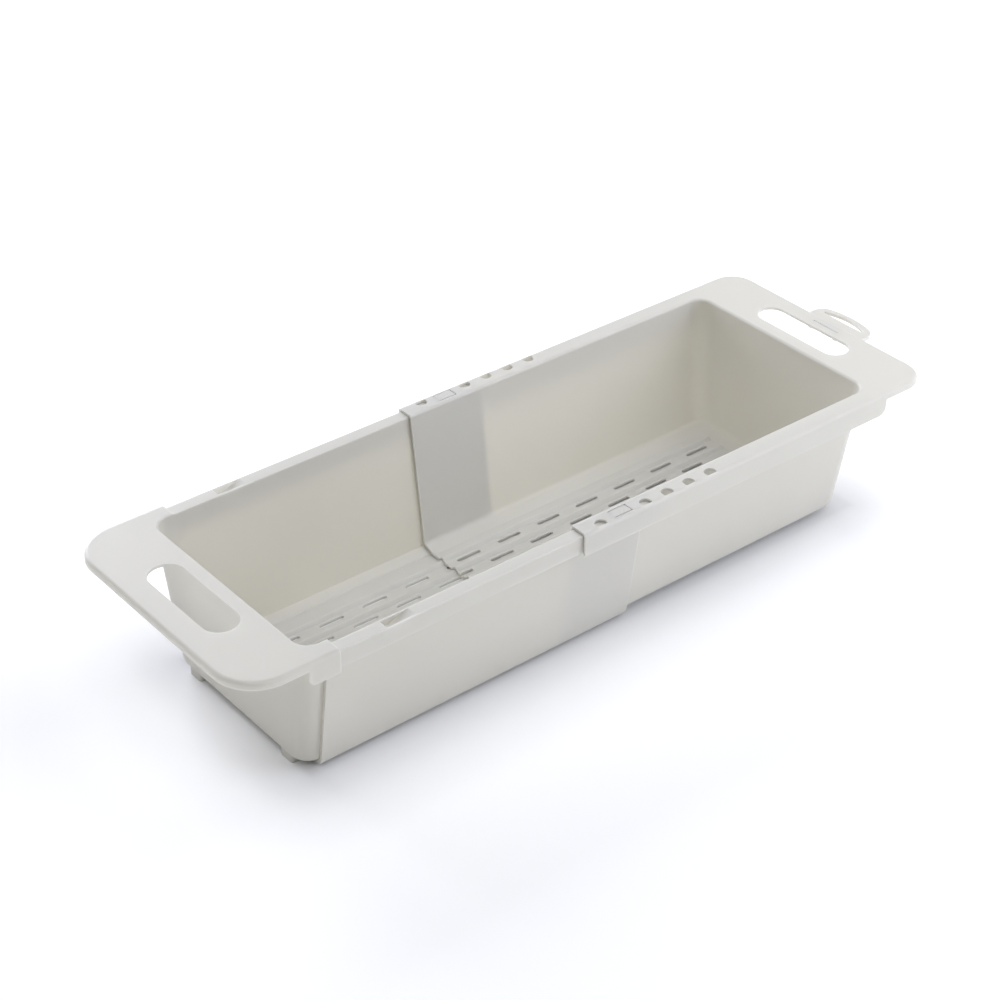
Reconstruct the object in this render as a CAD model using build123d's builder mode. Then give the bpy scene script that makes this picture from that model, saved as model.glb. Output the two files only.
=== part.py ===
"""Extending over-the-sink drain basket: two plastic trays that telescope.

The outer tray (left) carries the inner tray (right), whose rim is an
upside-down channel that rides on the outer tray's rim. X runs along the
basket, +X towards the handle with the hanging loop, Y is across it and +Z is
up. The origin is on the floor below the middle of the extended basket.
All lengths are in millimetres.
"""
import os
from math import radians, tan

from build123d import *

# ---- overall ----
height = 89.4  # floor to the top of the handle plates
plate_half = 82.4  # half the width of both handle plates
side_draft = 8.0  # degrees, long walls
end_draft = 3.0  # degrees, end walls
top_t = 1.6  # thickness of every flat top
slide_gap = 0.4  # play between the two trays, all round
top_gap = 0.3  # play under the channel's top
lip_depth = 4.5  # turned-down edge of the handle plates
lip_t = 1.5
top_round = 2.5

# ---- inner tray (right) ----
inner_free_x = -32.8  # its open end, fully extended
inner_plate_end = 234.6
inner_end_wall = 194.2  # inside face of the end wall at the top
inner_half = 70.6  # inside face of the long walls at the top
inner_wall_t = 1.6
inner_floor_z = 3.8  # floor between the ridges
inner_skirt_depth = 14.2
inner_skirt_end = 199.3
inner_corner_r = 9.4
margin_width = 9.0  # sloping margin between floor and walls
margin_rise = 2.7
inner_plate_r = 16.0
skirt_t = 1.5

# ---- outer tray (left) ----
outer_plate_end = -251.0
step_x = -191.9  # where the plate drops to the narrower rim
outer_open_x = 18.2
outer_end_wall = -206.5
outer_wall_t = 1.8
outer_plate_r = 25.0
ledge_width = 6.6  # margin of the outer tray's floor, which starts with a small step
ledge_height = 0.8
outer_skirt_depth = 12.6
plate_skirt_depth = 14.0
plate_skirt_start = -210.7
joggle_t = 1.8  # web where the walls step outwards
travel = inner_free_x - step_x - 0.3

# ---- ribbed floor ----
ridge_pitch = 12.15
ridge_height = 2.0
ridge_base = 5.6
ridge_ys = [side * ridge_pitch * (i + 0.5) for side in (-1, 1) for i in range(4)]
odd_row_ys = [side * ridge_pitch * i for side in (-1, 1) for i in (1, 3)]
even_row_ys = [-2 * ridge_pitch, 0, 2 * ridge_pitch]
slot_length = 17.0
slot_width = 2.6
slot_pitch = 30.4
inner_slots_x = -17.6  # first slot of the odd rows
outer_slots_x = -177.4
inner_ridge_end = 180.0
outer_ridge_end = -187.2

# ---- handle slots ----
hand_slot_length = 70.0
outer_slot_x = -225.2
outer_slot_w = 20.9
inner_slot_x = 212.8
inner_slot_w = 18.0

# ---- rim holes and snap tabs ----
hole_pitch = 16.0
hole_first_x = -19.2
hole_y = 79.1
hole_r = 3.7
tab_root_x = -9.8
tab_length = 11.8
tab_width = 5.6
tab_gap = 0.8
tab_y = 76.6
catch_depth = 4.0
catch_ramp = 18.0

# ---- feet ----
foot_x = -199.0
foot_y = 43.6
foot_length = 8.0
foot_width = 11.0
foot_height = 6.0

# ---- hanging loop ----
loop_y = -5.0
loop_tip_x = 251.0
loop_half = 22.3
loop_z = height - 3.4
loop_t = 2.0
pin_x = 227.3
pin_r = 1.3
pin_half = 13.0
strap_half = 8.2
knuckle_y = 10.2
knuckle_t = 3.0
knuckle_length = 5.0
clip_mouth = 2.2
loop_root_x = 235.1
loop_sagitta = 4.5
loop_band = 3.6
loop_hole_x = 242.4
loop_hole_half = 16.5
pin_clearance = 0.06

opening_round = 0.8
inner_opening_round = 1.8
rim_round = 0.6
wall_foot_round = 5.0  # outside, where the walls meet the floor's margin
floor_round = 3.0  # inside, at the same place
end_round = 1.0  # upright edges where the outer tray steps or ends

# ---- worked out from the above ----
extended_catch_x = tab_root_x + tab_length + 1
closed_catch_x = tab_root_x - travel + 6.6
hole_spots = [
    (hole_first_x + i * hole_pitch, side * hole_y)
    for side in (-1, 1)
    for i in (0, 2, 3, 4, 5)
]
outer_half = inner_half + inner_wall_t + slide_gap  # inside face, long walls
outer_rim_top = height - top_t - top_gap
outer_rim_half = plate_half - skirt_t - slide_gap
outer_floor_z = inner_floor_z - inner_wall_t - slide_gap
catch_spots = [
    Location((x, side * tab_y, outer_rim_top), (0, 0, turn))
    for x, turn in ((extended_catch_x, 180), (closed_catch_x, 0))
    for side in (-1, 1)
]
end_floor_bottom = inner_floor_z - outer_wall_t
side_slope = tan(radians(side_draft))
end_slope = tan(radians(end_draft))


def tub(x_open, x_closed, half_width, floor_z, corner_r, foot_round=0):
    """Solid with a sloping margin and drafted walls, square at x_open, rounded at x_closed."""
    toward = 1 if x_closed > x_open else -1
    with BuildPart() as shape:
        for z, inset in ((floor_z, margin_width), (floor_z + margin_rise, 0), (height, 0)):
            drop = height - z
            x_end = x_closed - toward * (drop * end_slope + inset)
            half = half_width - drop * side_slope - inset
            with BuildSketch(Plane.XY.offset(z)) as section:
                with Locations(((x_open + x_end) / 2, 0)):
                    Rectangle(abs(x_end - x_open), 2 * half)
                ends = section.vertices().sort_by(Axis.X)
                fillet(ends[-2:] if toward > 0 else ends[:2], corner_r)
        loft(ruled=True)
        if foot_round:
            crease_z = floor_z + margin_rise
            crease = shape.edges().filter_by_position(Axis.Z, crease_z - 0.01, crease_z + 0.01)
            fillet([e for e in crease if abs(e.center().X - x_open) > 1], foot_round)
    return shape.part


def trough(x_start, x_end, top_z, half_width, floor_z):
    """Solid with drafted long walls, square ends and a margin that steps up and slopes."""
    brim = half_width - (height - top_z) * side_slope
    foot = half_width - (height - floor_z) * side_slope
    margin_top = foot + margin_rise * side_slope
    ledge_start = foot - ledge_width
    with BuildPart() as shape:
        with BuildSketch(Plane.YZ.offset(x_start)):
            with BuildLine():
                Polyline(
                    (-brim, top_z),
                    (-margin_top, floor_z + margin_rise),
                    (-ledge_start - ledge_height, floor_z + ledge_height),
                    (-ledge_start, floor_z),
                    (ledge_start, floor_z),
                    (ledge_start + ledge_height, floor_z + ledge_height),
                    (margin_top, floor_z + margin_rise),
                    (brim, top_z),
                    close=True,
                )
            make_face()
        extrude(amount=x_end - x_start)
    return shape.part


def ridges(x_start, x_end, base_z):
    """The long ridges of the floor, side by side."""
    with BuildPart() as bars:
        with BuildSketch(Plane.YZ.offset(x_start)):
            with Locations(*[(y, base_z) for y in ridge_ys]):
                Trapezoid(ridge_base, ridge_height, 45, align=(Align.CENTER, Align.MIN))
        extrude(amount=x_end - x_start)
    return bars.part


def drain_slots(odd_x, even_x, odd_count, even_count):
    """Drain slots, one row in each valley of the floor, alternate rows staggered."""
    odd_rows = [(odd_x + i * slot_pitch, y) for y in odd_row_ys for i in range(odd_count)]
    even_rows = [(even_x + i * slot_pitch, y) for y in even_row_ys for i in range(even_count)]
    with BuildPart() as cutters:
        with BuildSketch(Plane.XY.offset(-1)):
            with Locations(*odd_rows, *even_rows):
                SlotOverall(slot_length, slot_width)
        extrude(amount=inner_floor_z + 2)
    return cutters.part


def at_opening(edge):
    """True for the top edges round the basket's mouth."""
    spot = edge.center()
    return abs(spot.Y) < outer_half + 1 and outer_end_wall - 1 < spot.X < inner_end_wall + 1


def along_rim(edge):
    """True for the long top edges of the outer tray's rims."""
    spot = edge.center()
    return abs(spot.Z - outer_rim_top) < 0.01 and spot.X > step_x and edge.length > 100


def catch_block():
    """Block under the rim that a snap tab's catch is sunk into."""
    with BuildPart() as block:
        with Locations((-1.2, 0, 0)):
            Box(
                catch_ramp + 1.2,
                2 * (outer_rim_half - tab_y),
                catch_depth + 1.2,
                align=(Align.MIN, Align.CENTER, Align.MAX),
            )
    return block.part


def catch_ramp_cut():
    """What is sunk into the rim: a deep end, then a ramp up to the rim's top."""
    with BuildPart() as cut:
        with BuildSketch(Plane.XZ):
            with BuildLine():
                Polyline(
                    (0, 0),
                    (0, -catch_depth),
                    (catch_ramp / 4, -catch_depth),
                    (catch_ramp, 0),
                    close=True,
                )
            make_face()
        extrude(amount=tab_width / 2 + 0.3, both=True)
    return cut.part


# ---- shapes shared by the trays ----
inner_outside = tub(
    inner_free_x - 20,
    inner_end_wall + inner_wall_t,
    inner_half + inner_wall_t,
    inner_floor_z - inner_wall_t,
    inner_corner_r + inner_wall_t,
    wall_foot_round,
)
inner_inside = tub(
    inner_free_x - 20, inner_end_wall, inner_half, inner_floor_z, inner_corner_r, floor_round
)
end_outside = tub(
    step_x + 10,
    outer_end_wall - outer_wall_t,
    inner_half + outer_wall_t,
    end_floor_bottom,
    inner_corner_r + outer_wall_t,
    wall_foot_round,
)
end_inside = tub(
    step_x + 10, outer_end_wall, inner_half, inner_floor_z, inner_corner_r, floor_round
)
with BuildPart() as main_outside:
    add(
        trough(
            step_x - joggle_t,
            outer_open_x,
            outer_rim_top,
            outer_half + outer_wall_t,
            outer_floor_z - outer_wall_t,
        )
    )
    wall_feet = main_outside.edges().filter_by(Axis.X).group_by(Axis.Z)[-2]
    fillet(wall_feet, wall_foot_round)
    open_end = main_outside.faces().sort_by(Axis.X)[-1]
    fillet(open_end.edges().sort_by(SortBy.LENGTH)[-4:-2], end_round)
main_inside = trough(step_x, outer_open_x + 1, height, outer_half, outer_floor_z)

# ---- outer tray ----
with BuildPart() as outer_tray:
    # handle plate with its turned-down lip
    with BuildSketch(Plane.XY.offset(height)) as plate_outline:
        with Locations(((outer_plate_end + step_x) / 2, 0)):
            Rectangle(step_x - outer_plate_end, 2 * plate_half)
        fillet(plate_outline.vertices().sort_by(Axis.X)[:2], outer_plate_r)
    extrude(amount=-lip_depth)
    # deeper skirts beside the step
    with BuildSketch(Plane.XZ) as skirt_profile:
        with Locations((step_x, height)):
            Rectangle(
                step_x - plate_skirt_start, plate_skirt_depth, align=(Align.MAX, Align.MAX)
            )
        fillet(skirt_profile.vertices().group_by(Axis.Y)[0].sort_by(Axis.X)[0], 3)
    extrude(amount=plate_half, both=True)
    top_edges = outer_tray.faces().sort_by(Axis.Z)[-1].edges()
    fillet([e for e in top_edges if e.center().X < step_x - 0.5], top_round)
    step_edges = outer_tray.edges().filter_by(Axis.Z).group_by(Axis.X)[-1]
    fillet(step_edges, end_round)
    with BuildSketch(Plane.XY.offset(height - top_t)) as under_plate:
        with Locations(((outer_plate_end + lip_t + step_x - joggle_t) / 2, 0)):
            Rectangle(step_x - joggle_t - outer_plate_end - lip_t, 2 * (plate_half - lip_t))
        fillet(under_plate.vertices().sort_by(Axis.X)[:2], outer_plate_r - lip_t)
    extrude(amount=-20, mode=Mode.SUBTRACT)
    # rims of the long walls, which the inner tray's channels ride on
    with BuildSketch(Plane.XY.offset(outer_rim_top)):
        with Locations(((step_x - joggle_t + outer_open_x) / 2, 0)):
            Rectangle(outer_open_x - step_x + joggle_t, 2 * outer_rim_half)
    extrude(amount=height - outer_rim_top - outer_skirt_depth)
    with BuildSketch(Plane.XY.offset(outer_rim_top - top_t)):
        with Locations(((step_x + outer_open_x + 1) / 2, 0)):
            Rectangle(outer_open_x + 1 - step_x, 2 * (outer_rim_half - lip_t))
    extrude(amount=-20, mode=Mode.SUBTRACT)
    # walls and floor
    add(end_outside)
    add(main_outside.part)
    # catches for the snap tabs, fully extended and fully pushed in
    with Locations(*catch_spots):
        add(catch_block())
        add(catch_ramp_cut(), mode=Mode.SUBTRACT)
    with BuildSketch(Plane.XY):
        with Locations((foot_x, -foot_y), (foot_x, foot_y)):
            RectangleRounded(foot_length, foot_width, 2)
    extrude(amount=foot_height)
    add(end_inside, mode=Mode.SUBTRACT)
    add(main_inside, mode=Mode.SUBTRACT)
    add(ridges(outer_ridge_end, outer_open_x, outer_floor_z))
    add(
        ridges(outer_ridge_end, outer_open_x + 1, outer_floor_z - outer_wall_t),
        mode=Mode.SUBTRACT,
    )
    add(drain_slots(outer_slots_x, outer_slots_x + slot_pitch / 2, 7, 6), mode=Mode.SUBTRACT)
    mouth = outer_tray.edges().group_by(Axis.Z)[-1].filter_by(at_opening)
    fillet(mouth, opening_round)
    rim_edges = outer_tray.edges().filter_by(along_rim)
    fillet(rim_edges, rim_round)
    # hand slot
    with BuildSketch(Plane.XY.offset(height)):
        with Locations((outer_slot_x, 0)):
            SlotOverall(hand_slot_length, outer_slot_w, rotation=90)
    extrude(amount=-lip_depth, mode=Mode.SUBTRACT)

# ---- inner tray ----
with BuildPart() as inner_tray:
    # handle plate, the tops of the channels and the turned-down lip
    with BuildSketch(Plane.XY.offset(height)) as plate_outline:
        with Locations(((inner_free_x + inner_plate_end) / 2, 0)):
            Rectangle(inner_plate_end - inner_free_x, 2 * plate_half)
        fillet(plate_outline.vertices().sort_by(Axis.X)[-2:], inner_plate_r)
    extrude(amount=-lip_depth)
    # channels' outer skirts
    with BuildSketch(Plane.XZ) as skirt_profile:
        with Locations((inner_free_x, height)):
            Rectangle(
                inner_skirt_end - inner_free_x, inner_skirt_depth, align=(Align.MIN, Align.MAX)
            )
        fillet(skirt_profile.vertices().group_by(Axis.Y)[0].sort_by(Axis.X)[-1], 5)
    extrude(amount=plate_half, both=True)
    top_edges = inner_tray.faces().sort_by(Axis.Z)[-1].edges()
    fillet([e for e in top_edges if e.center().X > inner_free_x + 0.5], top_round)
    with BuildSketch(Plane.XY.offset(height - top_t)) as under_plate:
        with Locations(((inner_free_x - 1 + inner_plate_end - lip_t) / 2, 0)):
            Rectangle(inner_plate_end - lip_t - inner_free_x + 1, 2 * (plate_half - skirt_t))
        fillet(under_plate.vertices().sort_by(Axis.X)[-2:], inner_plate_r - lip_t)
    extrude(amount=-20, mode=Mode.SUBTRACT)
    # walls and floor
    add(inner_outside)
    add(inner_inside, mode=Mode.SUBTRACT)
    add(ridges(inner_free_x - 20, inner_ridge_end, inner_floor_z))
    add(
        ridges(inner_free_x - 21, inner_ridge_end, inner_floor_z - inner_wall_t),
        mode=Mode.SUBTRACT,
    )
    add(drain_slots(inner_slots_x, inner_slots_x - slot_pitch / 2, 7, 7), mode=Mode.SUBTRACT)
    with BuildSketch(Plane.XY):
        with Locations((inner_free_x, 0)):
            Rectangle(60, 200, align=(Align.MAX, Align.CENTER))
    extrude(amount=height, mode=Mode.SUBTRACT)
    opening = inner_tray.edges().group_by(Axis.Z)[-1].filter_by(at_opening)
    fillet(opening, inner_opening_round)
    # holes in the channels, cut straight where they meet the skirt
    with BuildSketch(Plane.XY.offset(height)) as rim_holes:
        with Locations(*hole_spots):
            Circle(hole_r)
        Rectangle(400, 2 * (plate_half - skirt_t), mode=Mode.INTERSECT)
    extrude(amount=-top_t - 0.1, mode=Mode.SUBTRACT)
    # openings for the snap tabs
    with BuildSketch(Plane.XY.offset(height)):
        with Locations((tab_root_x, -tab_y), (tab_root_x, tab_y)):
            Rectangle(
                tab_length + tab_gap, tab_width + 2 * tab_gap, align=(Align.MIN, Align.CENTER)
            )
    extrude(amount=-top_t - 0.1, mode=Mode.SUBTRACT)
    # hand slot
    with BuildSketch(Plane.XY.offset(height)):
        with Locations((inner_slot_x, 0)):
            SlotOverall(hand_slot_length, inner_slot_w, rotation=90)
    extrude(amount=-lip_depth, mode=Mode.SUBTRACT)
    # notch in the lip for the loop's strap, and the clips that its pin snaps into
    with Locations((inner_plate_end, loop_y, height - top_t - 0.4)):
        Box(
            2 * lip_t + 1,
            2 * strap_half + 1.6,
            lip_depth,
            align=(Align.CENTER, Align.CENTER, Align.MAX),
            mode=Mode.SUBTRACT,
        )
    with Locations(*[(pin_x, loop_y + side * knuckle_y, height - top_t / 2) for side in (-1, 1)]):
        Box(
            knuckle_length,
            knuckle_t,
            lip_depth - top_t / 2,
            align=(Align.CENTER, Align.CENTER, Align.MAX),
        )
    with BuildSketch(Plane.XZ.offset(-loop_y)):
        with Locations((pin_x, loop_z)):
            Circle(pin_r + pin_clearance)
            Rectangle(clip_mouth, 6, align=(Align.CENTER, Align.MAX))
    extrude(amount=pin_half + 0.6, both=True, mode=Mode.SUBTRACT)
    # shallow groove in the plate's top, over the clips
    with BuildSketch(Plane.XY.offset(height)):
        with Locations((pin_x, loop_y)):
            SlotOverall(2 * knuckle_y, 1.2, rotation=90)
    extrude(amount=-0.4, mode=Mode.SUBTRACT)

# ---- snap tabs ----
with BuildPart() as near_snap_tab:
    with BuildSketch(Plane.XY.offset(height)) as tab_outline:
        with Locations((tab_root_x + 0.005, -tab_y)):
            Rectangle(tab_length, tab_width, align=(Align.MIN, Align.CENTER))
        fillet(tab_outline.vertices().sort_by(Axis.X)[-2:], 0.6)
    extrude(amount=-top_t)
    with Locations((tab_root_x + tab_length, -tab_y, height - top_t)):
        Box(2, tab_width, 0.2, align=(Align.MAX, Align.CENTER, Align.MAX))

with BuildPart() as far_snap_tab:
    add(near_snap_tab.part)
    mirror(about=Plane.XZ, mode=Mode.REPLACE)

# ---- hanging loop ----
with BuildPart() as hanging_loop:
    with BuildSketch(Plane.XY.offset(loop_z - loop_t / 2)) as ring:
        with BuildLine():
            ThreePointArc(
                (loop_tip_x - loop_sagitta, loop_y - loop_half),
                (loop_tip_x, loop_y),
                (loop_tip_x - loop_sagitta, loop_y + loop_half),
            )
            Polyline(
                (loop_tip_x - loop_sagitta, loop_y + loop_half),
                (loop_root_x, loop_y + loop_half),
                (loop_root_x, loop_y - loop_half),
                (loop_tip_x - loop_sagitta, loop_y - loop_half),
            )
        make_face()
        fillet(ring.vertices().sort_by(Axis.X)[-2:], 9)
        fillet(ring.vertices().sort_by(Axis.X)[:2], 2.5)
    with BuildSketch(Plane.XY.offset(loop_z - loop_t / 2)):
        with Locations((pin_x, loop_y)):
            Rectangle(
                loop_root_x + 1 - pin_x, 2 * strap_half, align=(Align.MIN, Align.CENTER)
            )
    extrude(amount=loop_t)
    with BuildSketch(Plane.XY.offset(loop_z - loop_t / 2)) as ring_hole:
        with BuildLine():
            ThreePointArc(
                (loop_hole_x + 1.5, loop_y - loop_hole_half),
                (loop_tip_x - loop_band, loop_y),
                (loop_hole_x + 1.5, loop_y + loop_hole_half),
            )
            Polyline(
                (loop_hole_x + 1.5, loop_y + loop_hole_half),
                (loop_hole_x, loop_y + loop_hole_half),
                (loop_hole_x, loop_y - loop_hole_half),
                (loop_hole_x + 1.5, loop_y - loop_hole_half),
            )
        make_face()
    extrude(amount=loop_t, mode=Mode.SUBTRACT)
    fillet(hanging_loop.edges().filter_by(GeomType.CIRCLE).group_by(Axis.Z)[-1], 0.4)
    with BuildSketch(Plane.XZ.offset(-loop_y)):
        with Locations((pin_x, loop_z)):
            Circle(pin_r)
    extrude(amount=pin_half, both=True)

os.makedirs("parts", exist_ok=True)
outer_tray.part.label = "outer_tray"
inner_tray.part.label = "inner_tray"
near_snap_tab.part.label = "near_snap_tab"
far_snap_tab.part.label = "far_snap_tab"
hanging_loop.part.label = "hanging_loop"
export_step(outer_tray.part, "parts/outer_tray.step")
export_step(inner_tray.part, "parts/inner_tray.step")
export_step(near_snap_tab.part, "parts/near_snap_tab.step")
export_step(far_snap_tab.part, "parts/far_snap_tab.step")
export_step(hanging_loop.part, "parts/hanging_loop.step")
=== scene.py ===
"""Looks for the extending drain basket: moulded plastic, studio light, camera.

Everything stays in the CAD frame, in metres. The CAD nodes are the visible
pieces; this script gives them their materials, and adds the floor, the
lights and the camera.
"""

from math import cos, pi, radians, sin

import bpy
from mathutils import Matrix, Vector

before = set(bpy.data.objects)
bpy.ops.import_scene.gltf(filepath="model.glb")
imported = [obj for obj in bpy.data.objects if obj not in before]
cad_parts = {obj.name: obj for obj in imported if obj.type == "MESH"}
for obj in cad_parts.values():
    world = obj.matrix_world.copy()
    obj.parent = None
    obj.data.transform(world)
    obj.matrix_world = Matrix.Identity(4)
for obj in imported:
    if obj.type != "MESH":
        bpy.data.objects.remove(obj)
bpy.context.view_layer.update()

scene = bpy.context.scene
scene.view_settings.view_transform = "Standard"

# ---- materials ----
OFF_WHITE = (0.68, 0.664, 0.606)
COLOUR_SPREAD = 0.015  # how much lighter or darker the colour drifts
TRAY_ROUGHNESS = 0.48
LOOP_ROUGHNESS = 0.42
ROUGHNESS_SPREAD = 0.05
PLASTIC_IOR = 1.49
SHEEN_LEVEL = 0.4  # strength of the reflections
SCATTER = 0.0035  # how far light spreads in the plastic, metres
SCATTER_SHARE = 0.65  # the rest is plain surface colour, which keeps small edges crisp
SCATTER_RGB = (1.0, 0.97, 0.9)
CLOUD_SCALE = 9.0  # drifts of colour, a few across the basket
FLOW_SCALE = 38.0  # waves that the flowing plastic leaves
FLOW_BUMP = {"Strength": 0.12, "Distance": 0.0002}
GRAIN_SCALE = 1500.0  # fine texture of the mould's surface
GRAIN_BUMP = {"Strength": 0.25, "Distance": 0.00006}


class Nodes:
    """Short calls for building one material's nodes."""

    def __init__(self, material):
        material.use_nodes = True
        self.tree = material.node_tree
        self.shader = self.tree.nodes["Principled BSDF"]

    def add(self, kind, links=(), **settings):
        """A new node, with its settings and sockets set by name and its inputs linked."""
        node = self.tree.nodes.new(kind)
        for key, value in settings.items():
            if hasattr(node, key):
                setattr(node, key, value)
            else:
                node.inputs[key.replace("_", " ")].default_value = value
        for target, source in links:
            self.tree.links.new(source, node.inputs[target])
        return node

    def ramp(self, source, stops):
        """Colours that follow source, through (position, colour) stops."""
        node = self.add("ShaderNodeValToRGB", [("Fac", source)])
        elements = node.color_ramp.elements
        while len(elements) < len(stops):
            elements.new(1.0)
        for element, (position, colour) in zip(elements, stops):
            element.position = position
            element.color = (*colour, 1)
        return node.outputs["Color"]

    def feed(self, socket, source):
        """Drives one of the shader's sockets from source."""
        self.tree.links.new(source, self.shader.inputs[socket])

    def fix(self, **constants):
        """Sets the shader's own sockets to constants."""
        for key, value in constants.items():
            self.shader.inputs[key.replace("_", " ")].default_value = value

    def remap(self, source, low, high):
        """A 0 to 1 source moved to low to high."""
        node = self.add("ShaderNodeMapRange", [("Value", source)], To_Min=low, To_Max=high)
        return node.outputs["Result"]

    def vector(self, operation, source, constant=(0, 0, 0)):
        """One vector operation on source, and on constant if it takes two."""
        node = self.add("ShaderNodeVectorMath", [(0, source)], operation=operation)
        node.inputs[1].default_value = constant
        return node.outputs["Value" if operation == "LENGTH" else "Vector"]


def moulded_plastic(name, colour, roughness, seed):
    """Slightly translucent moulded plastic with a fine texture."""
    material = bpy.data.materials.new(name)
    n = Nodes(material)
    place = n.add("ShaderNodeTexCoord").outputs["Object"]
    shift = n.add("ShaderNodeMapping", [("Vector", place)], Location=(seed, seed, seed))
    at = [("Vector", shift.outputs["Vector"])]
    clouds = n.add("ShaderNodeTexNoise", at, Scale=CLOUD_SCALE, Detail=3.0, Roughness=0.55)
    flow = n.add("ShaderNodeTexNoise", at, Scale=FLOW_SCALE, Detail=4.0, Distortion=1.2)
    grain = n.add("ShaderNodeTexNoise", at, Scale=GRAIN_SCALE, Detail=2.0, Roughness=0.6)
    dark = [c * (1 - COLOUR_SPREAD) for c in colour]
    light = [c * (1 + COLOUR_SPREAD) for c in colour]
    n.feed("Base Color", n.ramp(clouds.outputs["Fac"], [(0.3, dark), (0.7, light)]))
    smooth, rough = roughness - ROUGHNESS_SPREAD, roughness + ROUGHNESS_SPREAD
    n.feed("Roughness", n.remap(flow.outputs["Fac"], smooth, rough))
    waves = n.add("ShaderNodeBump", [("Height", flow.outputs["Fac"])], **FLOW_BUMP)
    over_waves = [("Height", grain.outputs["Fac"]), ("Normal", waves.outputs["Normal"])]
    bump = n.add("ShaderNodeBump", over_waves, **GRAIN_BUMP)
    n.feed("Normal", bump.outputs["Normal"])
    n.fix(Subsurface_Weight=SCATTER_SHARE, Subsurface_Radius=SCATTER_RGB)
    n.fix(Subsurface_Scale=SCATTER, IOR=PLASTIC_IOR, Specular_IOR_Level=SHEEN_LEVEL)
    return material


looks = {
    "outer_tray": moulded_plastic("outer_tray_plastic", OFF_WHITE, TRAY_ROUGHNESS, 0.0),
    "inner_tray": moulded_plastic("inner_tray_plastic", OFF_WHITE, TRAY_ROUGHNESS, 3.1),
    "hanging_loop": moulded_plastic("loop_plastic", OFF_WHITE, LOOP_ROUGHNESS, 5.7),
}
looks["near_snap_tab"] = looks["far_snap_tab"] = looks["inner_tray"]
for name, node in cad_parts.items():
    for slot in node.material_slots:
        slot.material = looks[name]

# ---- floor ----
FLOOR_HALF = 7.0  # half the floor's length and width, metres
# where each tray stands over the floor: the middle, and half the length and width, in metres
FOOTPRINTS = {
    "outer_tray": ((-0.091, 0, 0), (0.109, 0.062, 0)),
    "inner_tray": ((0.084, 0, 0), (0.116, 0.062, 0)),
}
# how brightly the floor glows, by distance from the nearest footprint in metres: painted
# light, none under the trays and rising outwards, which paints the soft shadow around the
# basket and the plain white further off
PAINTED_SHADOW_GLOW = [
    (0.0, 0.0),
    (0.005, 0.07),
    (0.016, 0.11),
    (0.032, 0.2),
    (0.064, 0.27),
    (0.3, 0.28),
    (1.0, 1.0),
]
PAPER_WHITE = 0.9
PAPER_ROUGHNESS = 0.9
unit_corners = ((-1, -1), (1, -1), (1, 1), (-1, 1))
corners = [(x * FLOOR_HALF, y * FLOOR_HALF, 0) for x, y in unit_corners]
floor_mesh = bpy.data.meshes.new("floor")
floor_mesh.from_pydata(corners, [], [(0, 1, 2, 3)])
floor = bpy.data.objects.new("floor", floor_mesh)
scene.collection.objects.link(floor)
paper = bpy.data.materials.new("floor_paper")
n = Nodes(paper)
# distance from the nearest tray footprint, which sets where the painted shadow falls; it
# rides with each tray
distances = []
for tray, (middle, half) in FOOTPRINTS.items():
    riding = n.add("ShaderNodeTexCoord", object=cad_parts[tray]).outputs["Object"]
    mirrored = n.vector("ABSOLUTE", n.vector("SUBTRACT", riding, middle))
    outside = n.vector("MAXIMUM", n.vector("SUBTRACT", mirrored, half))
    distances.append(n.vector("LENGTH", outside))
nearest = n.add("ShaderNodeMath", enumerate(distances), operation="MINIMUM")
painted_shadow_glow = n.ramp(nearest.outputs["Value"], [(d, (level,) * 3) for d, level in PAINTED_SHADOW_GLOW])
# painted shadow and painted light: the floor's emission follows the distance ramp, darker
# close to the trays and white far away
n.feed("Emission Strength", painted_shadow_glow)
n.fix(Emission_Color=(1, 1, 1, 1), Base_Color=(PAPER_WHITE, PAPER_WHITE, PAPER_WHITE, 1))
n.fix(Roughness=PAPER_ROUGHNESS, Specular_IOR_Level=0.0)
floor_mesh.materials.append(paper)

# ---- light ----
world = bpy.data.worlds.new("studio")
world.use_nodes = True
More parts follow.
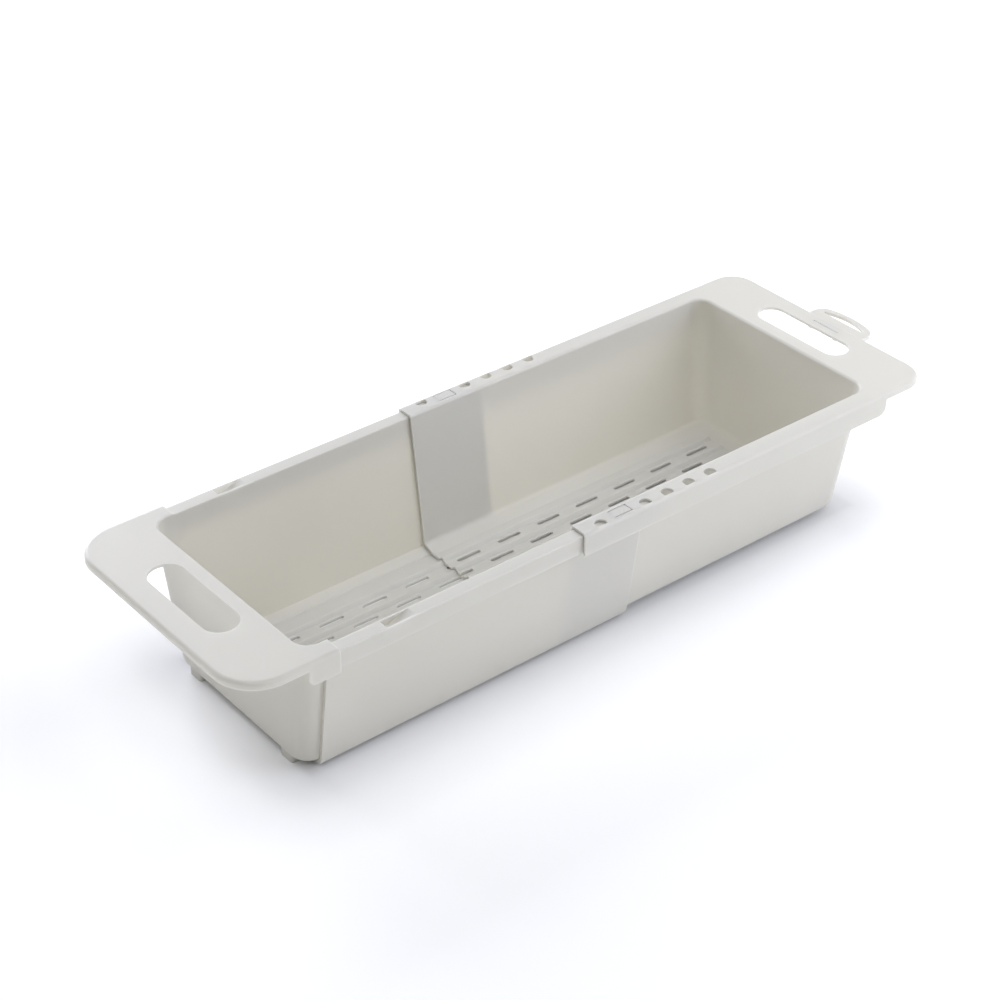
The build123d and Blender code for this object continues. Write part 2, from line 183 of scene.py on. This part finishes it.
# a white backdrop that sheds no light
backdrop = world.node_tree.nodes["Background"]
backdrop.inputs["Color"].default_value = (1, 1, 1, 1)
seen = world.node_tree.nodes.new("ShaderNodeLightPath")
world.node_tree.links.new(seen.outputs["Is Camera Ray"], backdrop.inputs["Strength"])
scene.world = world

COOL = (0.97, 1.0, 1.13)
PLAIN = (0.995, 1.0, 1.03)
# azimuth and elevation in degrees, distance and size in metres,
# brightness on a surface that faces it, colour
SOFT_BOXES = {
    "back": (90, 22, 1.6, 1.1, 0.94, COOL),
    "left_high": (180, 55, 1.6, 1.1, 0.26, PLAIN),
    "left_front_high": (225, 55, 1.6, 1.1, 0.12, PLAIN),
    "front_right": (315, 22, 1.6, 1.1, 0.435, COOL),
    "right_close": (0, 28, 0.85, 0.5, 0.16, PLAIN),
    "right_close_high": (0, 62, 0.85, 0.5, 0.15, PLAIN),
    "corner_close": (315, 62, 0.85, 0.5, 0.155, COOL),
}
for name, (azimuth, elevation, distance, size, level, tint) in SOFT_BOXES.items():
    lamp = bpy.data.lights.new(name, "AREA")
    lamp.shape = "SQUARE"
    lamp.size = size
    lamp.color = tint
    lamp.energy = level * (pi * distance) ** 2
    box = bpy.data.objects.new(name, lamp)
    turn, rise = radians(azimuth), radians(elevation)
    away = Vector((cos(turn) * cos(rise), sin(turn) * cos(rise), sin(rise)))
    box.location = away * distance
    box.rotation_euler = away.to_track_quat("Z", "Y").to_euler()
    scene.collection.objects.link(box)

# ---- camera ----
SENSOR_WIDTH = 36  # millimetres, like the lens
FOCAL_LENGTH = 82.9
VIEWPOINT = (-0.70171, -0.82906, 0.78253)
VIEW_ANGLES = (56.1665, -0.2731, -39.0736)  # degrees
camera = bpy.data.cameras.new("camera")
camera.sensor_width = SENSOR_WIDTH
camera.lens = FOCAL_LENGTH
viewpoint = bpy.data.objects.new("camera", camera)
viewpoint.location = VIEWPOINT
viewpoint.rotation_euler = [radians(angle) for angle in VIEW_ANGLES]
scene.collection.objects.link(viewpoint)
scene.camera = viewpoint
